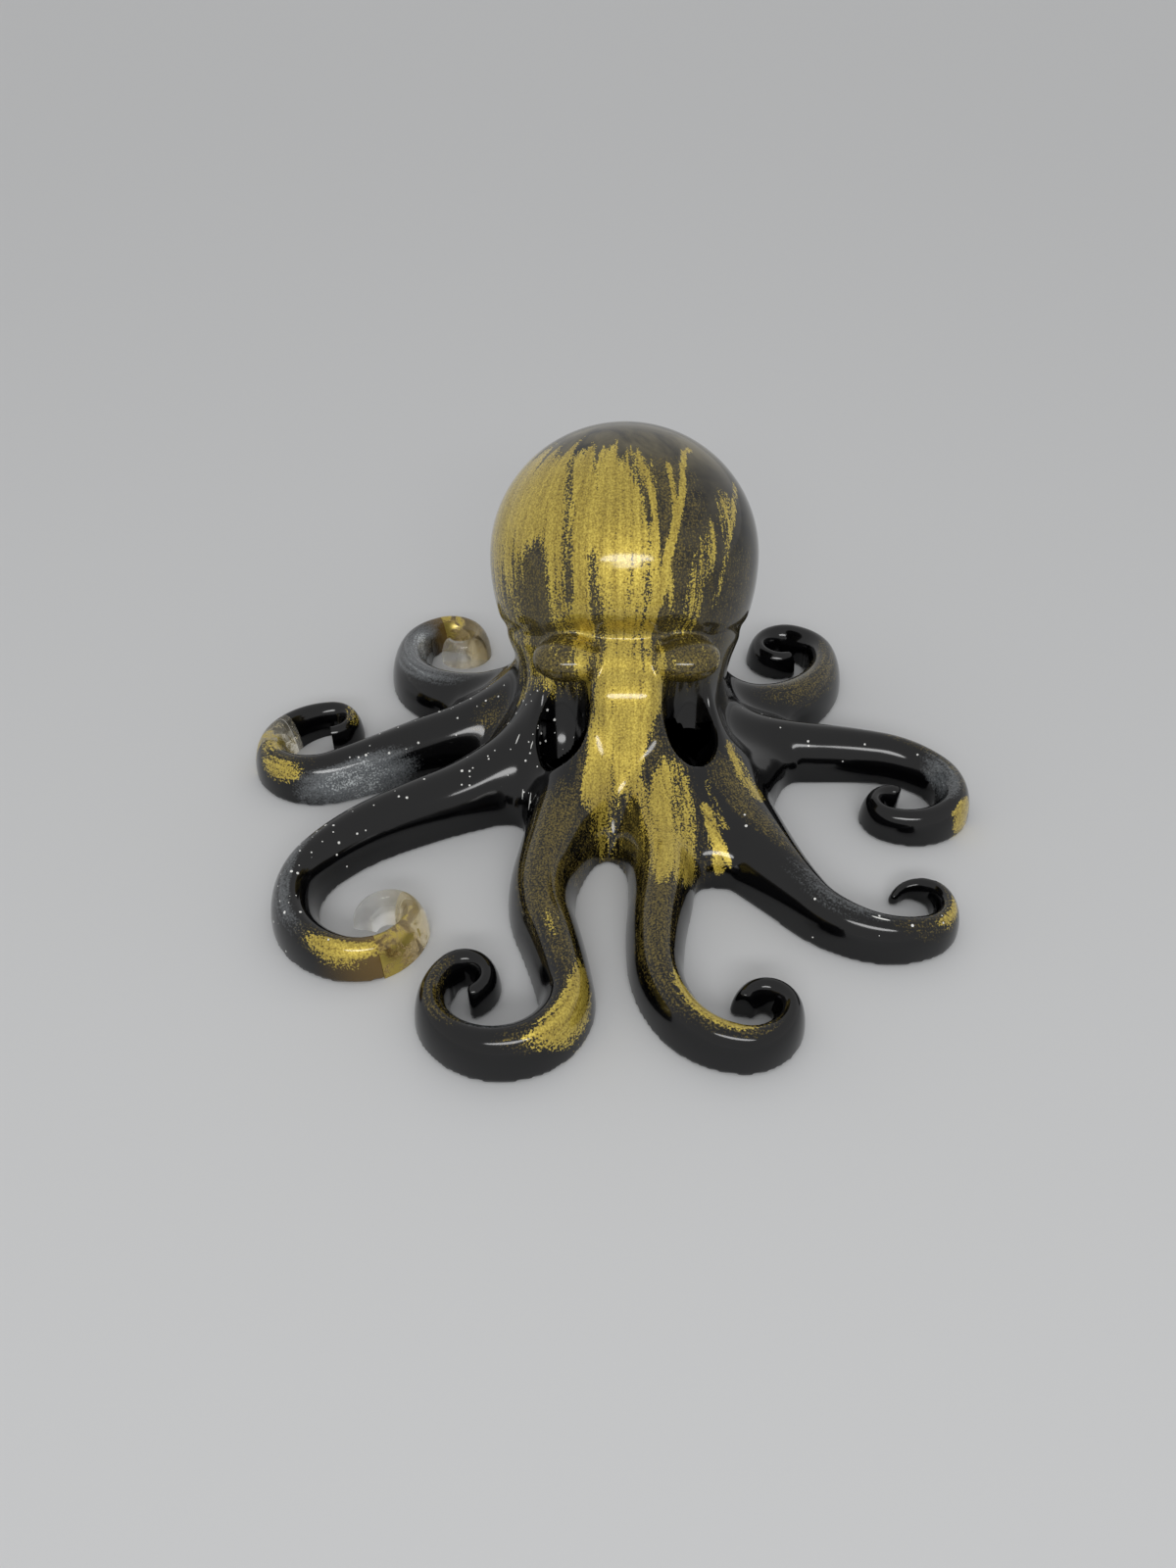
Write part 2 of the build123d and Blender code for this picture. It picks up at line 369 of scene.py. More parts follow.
normals = read_grid(slopes, corners)
normals /= np.linalg.norm(normals, axis=1)[:, None]
x, y, z = corners.T
corner_places = {name: place_along(name, x, y) for name in arms}
arm_names = list(arms)
arm_values = np.stack([arm_field(name, corner_places[name], z) for name in arm_names])
own_arm = arm_values.argmin(0)
core_value = core_field(x, y, z)
brow_values = {side: ball(x, y, z, centre, brow_radii) for side, centre in brow_centres.items()}
_, neck_level, _ = round_mantle(x, y, z)
part_names = [f"{name}_arm" for name in arm_names] + ["head", "mantle", "left_brow", "right_brow"]
in_core = core_value < arm_values.min(0)
part_of = np.where(in_core, part_names.index("head"), own_arm)
part_of[in_core & (neck_level > -neck_drop)] = part_names.index("mantle")
for side, value in brow_values.items():
    part_of[value < brow_skin] = part_names.index(f"{side}_brow")
face_part = part_of[quads].max(1)
print("faces:", {name: int((face_part == number).sum()) for number, name in enumerate(part_names)})

# %% [markdown]
# ## Pieces of the casting
#
# Each part becomes an object of its own. Where it was parted it is open, so every open loop is closed by
# a fan to a point inside the body, which nobody sees.

# %% Make the skin's pieces
pour_shares = {"fore_left": (0.8, 0.925), "rear_left": (0.745, 0.905), "middle_left": (0.675, 0.775)}
inside_pull = 1.5
seam_reach = 2.0


def open_loops(faces):
    """Closed chains of the edges that only one face uses, in the order that the fan needs."""
    starts = np.concatenate([faces[:, k] for k in range(4)])
    ends = np.concatenate([faces[:, (k + 1) % 4] for k in range(4)])
    used = set(zip(starts.tolist(), ends.tolist()))
    following = {}
    for start, end in used:
        if (end, start) not in used:
            following.setdefault(end, []).append(start)
    loops = []
    while following:
        here = next(iter(following))
        loop = []
        while here not in loop:
            loop.append(here)
            there = following[here].pop()
            if not following[here]:
                del following[here]
            here = there
        loops.append(loop[loop.index(here) :])
        for lost, found in zip(loop[: loop.index(here)], loop[1:]):
            following.setdefault(lost, []).append(found)
    return loops


def closed_piece(name, faces):
    """Object of some of the skin's faces, closed inside, with the whole skin's normals."""
    used = np.unique(faces)
    renumber = np.full(len(corners), -1)
    renumber[used] = np.arange(len(used))
    spots = corners[used].tolist()
    tilts = normals[used].tolist()
    sides = renumber[faces].tolist()
    for loop in open_loops(faces):
        hub = corners[loop].mean(0) - normals[loop].mean(0) * inside_pull
        spots.append(hub.tolist())
        tilts.append((-normals[loop].mean(0)).tolist())
        ring = renumber[loop].tolist()
        sides += [(a, b, len(spots) - 1) for a, b in zip(ring, ring[1:] + ring[:1])]
    mesh = bpy.data.meshes.new(name)
    mesh.from_pydata((np.array(spots) * mm).tolist(), [], sides)
    mesh.polygons.foreach_set("use_smooth", [True] * len(sides))
    mesh.normals_split_custom_set_from_vertices(tilts)
    piece = bpy.data.objects.new(name, mesh)
    bpy.context.scene.collection.objects.link(piece)
    return piece


def cut_at_pour(arm_name, faces):
    """Faces of an arm up to its first pour line, with the last corners drawn back onto that line."""
    share, _, _ = corner_places[arm_name]
    line = pour_shares[arm_name][0]
    reach = share[faces]
    kept = faces[(reach.min(1) < line) & (reach.max(1) < line + seam_reach / arms[arm_name].length)]
    over = np.unique(kept[share[kept] > line])
    _, headings = lines[arm_name]
    back = (line - share[over]) * arms[arm_name].length
    corners[over, :2] += headings[round(line * walk_steps)] * back[:, None]
    return kept


pieces = {}
for number, name in enumerate(part_names):
    faces = quads[face_part == number]
    arm_name = name.removesuffix("_arm")
    if arm_name in pour_shares:
        faces = cut_at_pour(arm_name, faces)
    pieces[name] = closed_piece(f"cast_{name}", faces)
    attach(pieces[name], "root")
    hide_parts(name)
print("pieces:", {name: len(piece.data.polygons) for name, piece in pieces.items()})

# %% [markdown]
# ## See-through ends
#
# Two arms run out through amber into water-clear resin, and a third has a clear bend before its black
# curl. These stretches follow a path and a rule: a half ellipse swept along the centreline, narrower and
# lower towards the end. That is work for Geometry Nodes. One tree makes all six, and only its first and
# last share differ. The helper that adds a node serves the materials too.

# %% Helper for nodes, and the inputs of the sweep
stretch_rings, arch_points = 40, 33


def add_node(tree, kind, links=None, **settings):
    """Add a node with its settings and inputs. A node given as an input stands for its first output."""
    node = tree.nodes.new(kind)
    for key, value in settings.items():
        setattr(node, key, value)
    for key, value in (links or {}).items():
        source = value.outputs[0] if isinstance(value, bpy.types.Node) else value
        if isinstance(source, bpy.types.NodeSocket):
            tree.links.new(source, node.inputs[key])
        else:
            node.inputs[key].default_value = value
    return node


sweep = bpy.data.node_groups.new("poured_stretch", "GeometryNodeTree")
sweep.interface.new_socket("Geometry", in_out="INPUT", socket_type="NodeSocketGeometry")
sweep.interface.new_socket("Geometry", in_out="OUTPUT", socket_type="NodeSocketGeometry")
sweep_sizes = {
    "Root Half Width": root_half_width * mm,
    "Tip Half Width": tip_half_width * mm,
    "Root Height": root_height * mm,
    "Tip Height": tip_height * mm,
    "Taper Power": taper_power,
    "First Share": 0.0,
    "Last Share": 1.0,
}
for name, value in sweep_sizes.items():
    socket = sweep.interface.new_socket(name, in_out="INPUT", socket_type="NodeSocketFloat")
    socket.default_value = value
sweep.interface.new_socket("Resin", in_out="INPUT", socket_type="NodeSocketMaterial")
print("sweep inputs:", list(sweep_sizes))

# %% Tree of a poured stretch
given = add_node(sweep, "NodeGroupInput").outputs
trim = {"Curve": given["Geometry"], "Start": given["First Share"], "End": given["Last Share"]}
cut = add_node(sweep, "GeometryNodeTrimCurve", trim)
even = add_node(sweep, "GeometryNodeResampleCurve", {"Curve": cut, "Count": stretch_rings})
part_way = add_node(sweep, "GeometryNodeSplineParameter").outputs["Factor"]
shares = {"Value": part_way, "To Min": given["First Share"], "To Max": given["Last Share"]}
share = add_node(sweep, "ShaderNodeMapRange", shares)
left = add_node(sweep, "ShaderNodeMath", {0: 1.0, 1: share}, operation="SUBTRACT")
rest = add_node(sweep, "ShaderNodeMath", {0: left, 1: given["Taper Power"]}, operation="POWER")
widths = {"Value": rest, "To Min": given["Tip Half Width"], "To Max": given["Root Half Width"]}
half_width = add_node(sweep, "ShaderNodeMapRange", widths)
heights = {"Value": rest, "To Min": given["Tip Height"], "To Max": given["Root Height"]}
height = add_node(sweep, "ShaderNodeMapRange", heights)
rise = add_node(sweep, "ShaderNodeMath", {0: height, 1: half_width}, operation="DIVIDE")
carried = even
for name, value in {"rise": rise, "part_way": part_way}.items():
    named = {"Geometry": carried, "Name": name, "Value": value}
    carried = add_node(sweep, "GeometryNodeStoreNamedAttribute", named)
upright = add_node(sweep, "GeometryNodeSetCurveNormal", {"Curve": carried}, mode="Z_UP")
half_circle = {"Resolution": arch_points, "Radius": 1.0, "Sweep Angle": -np.pi}
arch = add_node(sweep, "GeometryNodeCurveArc", half_circle)
profile = add_node(sweep, "GeometryNodeSetSplineCyclic", {"Geometry": arch, "Cyclic": True})
swept = {"Curve": upright, "Profile Curve": profile, "Scale": half_width, "Fill Caps": True}
tube = add_node(sweep, "GeometryNodeCurveToMesh", swept)
place = add_node(sweep, "ShaderNodeSeparateXYZ", {0: add_node(sweep, "GeometryNodeInputPosition")})
stored = add_node(sweep, "GeometryNodeInputNamedAttribute", {"Name": "rise"}, data_type="FLOAT")
high = add_node(sweep, "ShaderNodeMath", {0: place.outputs["Z"], 1: stored}, operation="MULTIPLY")
new_place = {"X": place.outputs["X"], "Y": place.outputs["Y"], "Z": high}
new_place = add_node(sweep, "ShaderNodeCombineXYZ", new_place)
arched = add_node(sweep, "GeometryNodeSetPosition", {"Geometry": tube, "Position": new_place})
real = add_node(sweep, "GeometryNodeRealizeInstances", {"Geometry": arched})
finished = add_node(sweep, "GeometryNodeSetMaterial", {"Geometry": real, "Material": given["Resin"]})
add_node(sweep, "NodeGroupOutput", {"Geometry": finished})
print("sweep tree:", len(sweep.nodes), "nodes")

# %% Sweep the stretches
Stretch = namedtuple("Stretch", "arm number slot")
stretches = {
    "fore_left_amber_band": Stretch("fore_left", 0, "amber_resin"),
    "fore_left_clear_tip": Stretch("fore_left", 1, "clear_resin"),
    "rear_left_amber_band": Stretch("rear_left", 0, "amber_resin"),
    "rear_left_clear_tip": Stretch("rear_left", 1, "clear_resin"),
    "middle_left_clear_bend": Stretch("middle_left", 0, "clear_resin"),
    "middle_left_curl": Stretch("middle_left", 1, "black_resin"),
}
socket_ids = {item.name: item.identifier for item in sweep.interface.items_tree if item.in_out == "INPUT"}
crease = np.radians(40)


def sweep_stretch(name, stretch):
    """Plain mesh object of one stretch of an arm, from one pour line to the next."""
    path_data = bpy.data.curves.new(name, "CURVE")
    path_data.dimensions = "3D"
    points, _ = lines[stretch.arm]
    spline = path_data.splines.new("POLY")
    spline.points.add(len(points) - 1)
    for knot, (px, py) in zip(spline.points, points):
        knot.co = (px * mm, py * mm, 0, 1)
    path = bpy.data.objects.new(name, path_data)
    bpy.context.scene.collection.objects.link(path)
    bounds = (*pour_shares[stretch.arm], 1.0)
    modifier = path.modifiers.new("sweep", "NODES")
    modifier.node_group = sweep
    modifier[socket_ids["First Share"]] = bounds[stretch.number]
    modifier[socket_ids["Last Share"]] = bounds[stretch.number + 1]
    evaluated = path.evaluated_get(bpy.context.evaluated_depsgraph_get())
    mesh = bpy.data.meshes.new_from_object(evaluated)
    bpy.data.objects.remove(path)
    shell = bmesh.new()
    shell.from_mesh(mesh)
    bmesh.ops.recalc_face_normals(shell, faces=shell.faces)
    shell.to_mesh(mesh)
    shell.free()
    mesh.set_sharp_from_angle(angle=crease)
    piece = bpy.data.objects.new(f"poured_{name}", mesh)
    bpy.context.scene.collection.objects.link(piece)
    return piece


for name, stretch in stretches.items():
    pieces[name] = sweep_stretch(name, stretch)
    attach(pieces[name], "root")
    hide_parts(name)
    levels = [vertex.co.z / mm for vertex in pieces[name].data.vertices]
    print(name, len(pieces[name].data.polygons), "faces,", round(max(levels) - min(levels), 2), "mm high")

# %% [markdown]
# ## Where the mica lies
#
# The maker's pigments ran with the resin, so their streaks follow the arms, and on the body they run down
# from the crown. Each point of the skin gets a coordinate called grain, in millimetres, squeezed along
# the flow, so that any noise read from it comes out as streaks. Six more values say how much there is of
# each thing: gilding is solid gold, dust is loose gold specks, pearl is silver-grey mica, smoke is resin
# thin enough to look grey, flecks is where white specks float, and stain is amber that seeps back from
# the next pour. They follow the photograph as soft shapes, and the materials break them up. On the body a
# place is an angle round the mantle, 0 over the face, and a reach from the crown. On an arm it is a share
# of the length and a place across.

# %% Flow of the resin
flow_squeeze = 12.0
grain_radius = 20.0
root_share, flow_shares = 0.25, (0.1, 0.35)
crown = mantle_centre + mantle_axis * mantle_top
degree_width = 0.36


def from_crown(x, y, z):
    """Angle round the mantle in degrees, 0 over the face, and distance from the crown."""
    _, _, angle = round_mantle(x, y, z)
    reach = np.sqrt((x - crown[0]) ** 2 + (y - crown[1]) ** 2 + (z - crown[2]) ** 2)
    return np.degrees(angle), reach


def grain_at(spots, arm_name, share, offset):
    """Flow coordinate: round and down the body near the hub, along the arm further out."""
    angle, reach = from_crown(*spots.T)
    angle = np.radians(angle)
    body = np.stack([grain_radius * np.cos(angle), grain_radius * np.sin(angle), reach / flow_squeeze], 1)
    points, _ = lines[arm_name]
    root = points[round(root_share * walk_steps)]
    root_angle, root_reach = from_crown(root[0], root[1], root_height / 2)
    root_angle = np.radians(root_angle)
    run = root_reach + (share - root_share) * arms[arm_name].length
    arm = np.stack(
        [
            grain_radius * np.cos(root_angle) - offset * np.sin(root_angle),
            grain_radius * np.sin(root_angle) + offset * np.cos(root_angle),
            run / flow_squeeze,
        ],
        1,
    )
    weight = ramp(share, *flow_shares)[:, None]
    return body * (1 - weight) + arm * weight


print("crown of the mantle:", np.round(crown, 1).tolist())

# %% Waves, zones, strokes and patches
Wave = namedtuple("Wave", "size width turn")
gold_fingers = (Wave(1.7, 13.0, 0.4), Wave(1.3, 7.3, 1.9), Wave(0.9, 4.1, 0.8))
Zone = namedtuple("Zone", "amount angles_in angles_out reaches_in reaches_out")
gold_sheet = Zone(1.0, (-92, -74), (0, 22), (12.5, 18.5), (44, 50))
left_fade = ((27, 33, 38, 45), (0.95, 0.52, 0.46, 0.3))
middle_fade = ((30, 36, 41, 46), (0.9, 0.62, 0.7, 0.0))
fade_angles = (-34, -20)
band_reaches = (40, 43, 53, 60, 67, 72)
band_middles, band_half_angles = (0, 3, -2, -5, -6, -6), (19, 17, 13, 11, 7, 4)
band_amount, band_edge, band_start, band_end = 0.85, (0.6, 1.4), (36, 42), (66, 76)
band_loss, band_loss_reaches = 0.45, (58, 66)
dust_zones = (
    Zone(0.45, (-29.2, -11), (15, 33.2), (36, 44), (72, 80)),
    Zone(0.62, (-100, -60), (18, 46), (14, 20), (42, 48)),
    Zone(0.28, (10, 30), (60, 90), (26, 32), (42, 48)),
)
fleck_zones = (Zone(0.9, (-78, -66), (-42, -30), (42, 48), (60, 68)),)
cap_reaches, mist_reaches, mist_amount = (14, 24), (40, 48), 0.35
body_end, arm_start_shares = (72, 80), (0.1, 0.2)
brow_dust, brow_gold, brow_loss = 1.1, 0.22, 0.35
stained_arms, stain_back, stain_on = ("fore_left", "rear_left"), 0.09, 0.0225
stroke_core, stroke_edge = 0.2, 2.0
past_the_tip = 2.0
Stroke = namedtuple("Stroke", "half_width amount path")
gold_strokes = (
    Stroke(0.45, 1.05, ((44, 14.8), (36, 15.6), (29, 18.5), (23, 23.5), (15, 30.0), (9, 38.8))),
    Stroke(0.35, 0.9, ((21, 18.0), (19, 25.9), (12, 33.3), (5, 38.8))),
    Stroke(1.8, 0.44, ((46, 23.5), (38, 27.3), (29, 31.3), (24, 38.5))),
    Stroke(0.6, 0.45, ((66, 21.0), (54, 24.0), (44, 28.5), (38, 35.0))),
    Stroke(0.5, 0.5, ((16, 32.0), (20, 39.0))),
    Stroke(1.2, 0.5, ((47, 55.5), (46, 59.0), (45, 64.0))),
    Stroke(0.6, 0.75, ((26, 64.0), (25.5, 70.0), (26, 74.0))),
    Stroke(0.35, 0.6, ((30, 60.0), (29, 68.0))),
    Stroke(2.6, 0.62, ((14, 58.0), (13, 66.0), (12, 74.0))),
    Stroke(1.4, 0.6, ((-52, 38.0), (-56, 44.0), (-64, 48.0))),
)
bare_strokes = (
    Stroke(0.9, 0.62, ((-31, 18.0), (-25, 24.0), (-23, 34.0))),
    Stroke(0.4, 0.55, ((-16, 17.0), (-14, 22.0))),
    Stroke(0.6, 0.55, ((2, 17.0), (4, 21.0))),
    Stroke(0.5, 0.6, ((6, 22.0), (8, 26.0))),
    Stroke(2.2, 0.8, ((-41, 31.0), (-43, 38.0))),
    Stroke(0.8, 0.6, ((-14, 30.0), (-13, 39.0))),
    Stroke(0.9, 0.7, ((14, 50.0), (8, 58.0))),
    Stroke(0.5, 0.6, ((-2, 61.0), (0, 68.0))),
)
Patch = namedtuple("Patch", "arm share across half_length half_width amount")
gold_patches = (
    Patch("front_left", 0.56, 0.45, 6.5, 0.5, 0.85),
    Patch("front_left", 0.42, -0.1, 3.0, 0.3, 0.55),
    Patch("front_right", 0.69, 0.25, 9.0, 0.4, 0.75),
    Patch("front_right", 0.24, -0.25, 6.0, 0.45, 0.55),
    Patch("fore_right", 0.8, -0.35, 4.0, 0.4, 0.75),
    Patch("middle_right", 0.74, 0.75, 2.5, 0.3, 0.75),
    Patch("middle_right", 0.57, 0.45, 5.0, 0.25, 0.5),
    Patch("middle_left", 0.6, 0.55, 4.0, 0.4, 0.72),
    Patch("middle_left", 0.66, -0.1, 3.0, 0.6, 0.72),
    Patch("middle_left", 0.86, 0.5, 5.0, 0.4, 0.7),
    Patch("middle_left", 0.94, 0.1, 3.0, 0.6, 0.65),
    Patch("fore_left", 0.755, -0.45, 6.0, 0.45, 0.8),
)
dust_patches = (
    Patch("front_left", 0.3, 0.0, 22.0, 0.7, 0.85),
    Patch("front_left", 0.55, 0.3, 10.0, 0.6, 0.6),
    Patch("front_left", 0.8, -0.2, 8.0, 0.6, 0.5),
    Patch("front_right", 0.35, -0.1, 24.0, 0.75, 0.85),
    Patch("front_right", 0.7, 0.2, 10.0, 0.6, 0.6),
    Patch("fore_right", 0.22, 0.55, 16.0, 0.45, 0.7),
    Patch("fore_right", 0.78, -0.2, 8.0, 0.6, 0.5),
    Patch("middle_right", 0.6, 0.3, 10.0, 0.5, 0.4),
    Patch("rear_right", 0.45, -0.1, 14.0, 0.7, 0.6),
    Patch("middle_left", 0.14, 0.6, 7.0, 0.45, 0.6),
    Patch("middle_left", 0.62, 0.2, 7.0, 0.6, 0.5),
    Patch("fore_left", 0.75, -0.3, 7.0, 0.6, 0.5),
)
pearl_patches = (
    Patch("rear_left", 0.5, -0.3, 16.0, 0.9, 0.75),
    Patch("rear_left", 0.58, -0.5, 9.0, 0.5, 0.95),
    Patch("middle_right", 0.68, -0.3, 7.0, 0.6, 0.7),
    Patch("fore_left", 0.58, -0.4, 12.0, 0.5, 0.55),
    Patch("front_left", 0.68, -0.5, 8.0, 0.4, 0.5),
    Patch("fore_right", 0.55, 0.0, 9.0, 0.5, 0.5),
    Patch("rear_right", 0.4, 0.3, 8.0, 0.5, 0.45),
    Patch("middle_left", 0.46, 0.8, 9.0, 0.35, 1.15),
)
fleck_patches = (
    Patch("fore_left", 0.48, -0.1, 20.0, 0.9, 1.0),
    Patch("middle_left", 0.32, 0.0, 16.0, 0.8, 0.9),
    Patch("fore_right", 0.55, 0.0, 20.0, 0.8, 0.35),
    Patch("middle_right", 0.4, 0.0, 16.0, 0.8, 0.3),
)
print("strokes:", len(gold_strokes), "of gold and", len(bare_strokes), "left bare")
print("patches of gold, dust and pearl:", len(gold_patches), len(dust_patches), len(pearl_patches))

# %% Paint the pieces


def along_stroke(stroke, angle, reach):
    """How strongly a stroke covers points of the body."""
    spots = np.stack([angle * degree_width, reach], 1)
    knots = np.array(stroke.path) * (degree_width, 1)
    nearest = np.full(len(spots), np.inf)
    for start, end in zip(knots, knots[1:]):
        run = end - start
        part = np.clip(((spots - start) @ run) / (run @ run), 0, 1)
        nearest = np.minimum(nearest, np.linalg.norm(spots - start - part[:, None] * run, axis=1))
    return stroke.amount * (1 - ramp(nearest / stroke.half_width, stroke_core, stroke_edge))


def in_zones(zones, angle, reach):
    """How strongly zones of the body cover points of it."""
    total = np.zeros_like(reach)
    for zone in zones:
        sideways = ramp(angle, *zone.angles_in) * (1 - ramp(angle, *zone.angles_out))
        downwards = ramp(reach, *zone.reaches_in) * (1 - ramp(reach, *zone.reaches_out))
        total = np.maximum(total, zone.amount * sideways * downwards)
    return total


def in_patches(patches, arm_name, share, across):
    """How strongly an arm's patches cover points of it."""
    total = np.zeros_like(share)
    for patch in patches:
        if patch.arm == arm_name:
            far = ((share - patch.share) * arms[arm_name].length / patch.half_length) ** 2
            wide = ((across - patch.across) / patch.half_width) ** 2
            total = np.maximum(total, patch.amount * np.exp(-((far + wide) ** 2)))
    return total


def body_gilding(angle, reach):
    """Gold on the mantle and down the face, with fingers along the flow at its edges."""
    fingers = sum(wave.size * np.sin(angle * 2 * np.pi / wave.width + wave.turn) for wave in gold_fingers)
    run = reach + fingers
    sheet = ramp(angle, *gold_sheet.angles_in) * (1 - ramp(angle + fingers, *gold_sheet.angles_out))
    sheet = sheet * ramp(run, *gold_sheet.reaches_in) * (1 - ramp(reach, *gold_sheet.reaches_out))
    side = ramp(angle, *fade_angles)
    sheet = sheet * (np.interp(run, *left_fade) * (1 - side) + np.interp(run, *middle_fade) * side)
    middle = np.interp(reach, band_reaches, band_middles)
    half = np.interp(reach, band_reaches, band_half_angles)
    band = band_amount * (1 - ramp(np.abs(angle + fingers / 2 - middle) / half, *band_edge))
    band = band * ramp(reach, *band_start) * (1 - ramp(reach, *band_end))
    band = band * (1 - band_loss * ramp(reach, *band_loss_reaches))
    gold = np.maximum(gold_sheet.amount * sheet, band)
    for stroke in gold_strokes:
        gold = np.maximum(gold, along_stroke(stroke, angle, reach))
    for stroke in bare_strokes:
        gold = gold * (1 - along_stroke(stroke, angle, reach))
    return gold


def paint(spots, arm_name, share, offset, on_arm, on_brow):
    """All painted values at some spots, as a dict of arrays."""
    angle, reach = from_crown(*spots.T)
    across = offset / arm_size(arms[arm_name], share)[0]
    arm_part = ramp(share, *arm_start_shares) * on_arm
    gold = body_gilding(angle, reach) * (1 - ramp(reach, *body_end)) * (1 - brow_loss * on_brow)
    gold = np.maximum(gold, in_patches(gold_patches, arm_name, share, across) * arm_part)
    dust = in_zones(dust_zones, angle, reach)
    dust = np.maximum(dust, in_patches(dust_patches, arm_name, share, across) * arm_part)
    mist = mist_amount * (1 - ramp(reach, *mist_reaches))
    flecks = in_zones(fleck_zones, angle, reach)
    first_pour = pour_shares[arm_name][0] if arm_name in stained_arms else past_the_tip
    return {
        "gilding": np.maximum(gold, brow_gold * on_brow),
        "dust": np.maximum(dust, brow_dust * on_brow),
        "pearl": in_patches(pearl_patches, arm_name, share, across) * arm_part,
        "smoke": np.maximum(1 - ramp(reach, *cap_reaches), mist),
        "flecks": np.maximum(flecks, in_patches(fleck_patches, arm_name, share, across)),
        "stain": ramp(share, first_pour - stain_back, first_pour + stain_on) * on_arm,
        "grain": grain_at(spots, arm_name, share, offset),
    }


def store(piece, painted):
    """Keep painted values on a piece's points."""
    for name, value in painted.items():
        kind, slot = ("FLOAT_VECTOR", "vector") if value.ndim == 2 else ("FLOAT", "value")
        attribute = piece.data.attributes.new(name, kind, "POINT")
        attribute.data.foreach_set(slot, np.ravel(value).astype(np.float32))


for name, piece in pieces.items():
    spots = np.empty(len(piece.data.vertices) * 3)
    piece.data.vertices.foreach_get("co", spots)
    spots = spots.reshape(-1, 3) / mm
    own_places = [place_along(arm_name, spots[:, 0], spots[:, 1]) for arm_name in arm_names]
    fields = [arm_field(arm_name, place, spots[:, 2]) for arm_name, place in zip(arm_names, own_places)]
    nearest_arm = np.stack(fields).argmin(0)
    painted = {}
    on_brow = name.endswith("_brow")
    on_arm = name != "mantle" and not on_brow
    for number, arm_name in enumerate(arm_names):
        mine = nearest_arm == number
        share, offset, _ = own_places[number]
        some = paint(spots[mine], arm_name, share[mine], offset[mine], on_arm, on_brow)
        for key, value in some.items():
            painted.setdefault(key, np.zeros((len(spots),) + value.shape[1:]))[mine] = value
    store(piece, painted)
print("painted:", sorted(painted))

# %% [markdown]
# ## The resins
#
# Cast epoxy is a clear, glassy plastic with an index near 1.5. It is never polished: it copies the
# mould's gloss. Pigment sits under that clear skin, so the base layer carries the colour and a full clear
# coat carries the gloss. Gold mica is ground mineral with a metal oxide on it, which shines like a soft
# metal. The patterns' sizes are those of the real streaks, a millimetre or two across, and of mica
# grains, drawn at about a third of a millimetre so that they show.

# %% Colours and sizes of the patterns


def linear(code):
    """Linear colour of an sRGB hex value."""
    parts = [int(code[i : i + 2], 16) / 255 for i in (1, 3, 5)]
    return (*[c / 12.92 if c <= 0.04045 else ((c + 0.055) / 1.055) ** 2.4 for c in parts], 1.0)


resin_index = 1.5
streak_width, fine_streak_width, hair_width = 3.0, 0.8, 0.3
mica_size, cloud_size, fleck_spacing, flake_width = 0.3, 8.0, 1.2, 0.8


def empty_material(name):
    """Material with a cleared tree."""
    material = bpy.data.materials.new(name)
    material.use_nodes = True
    material.node_tree.nodes.clear()
    return material, material.node_tree


print("bright gold as linear light:", np.round(linear("#e6d060"), 3).tolist())

# %% Black casting epoxy with mica


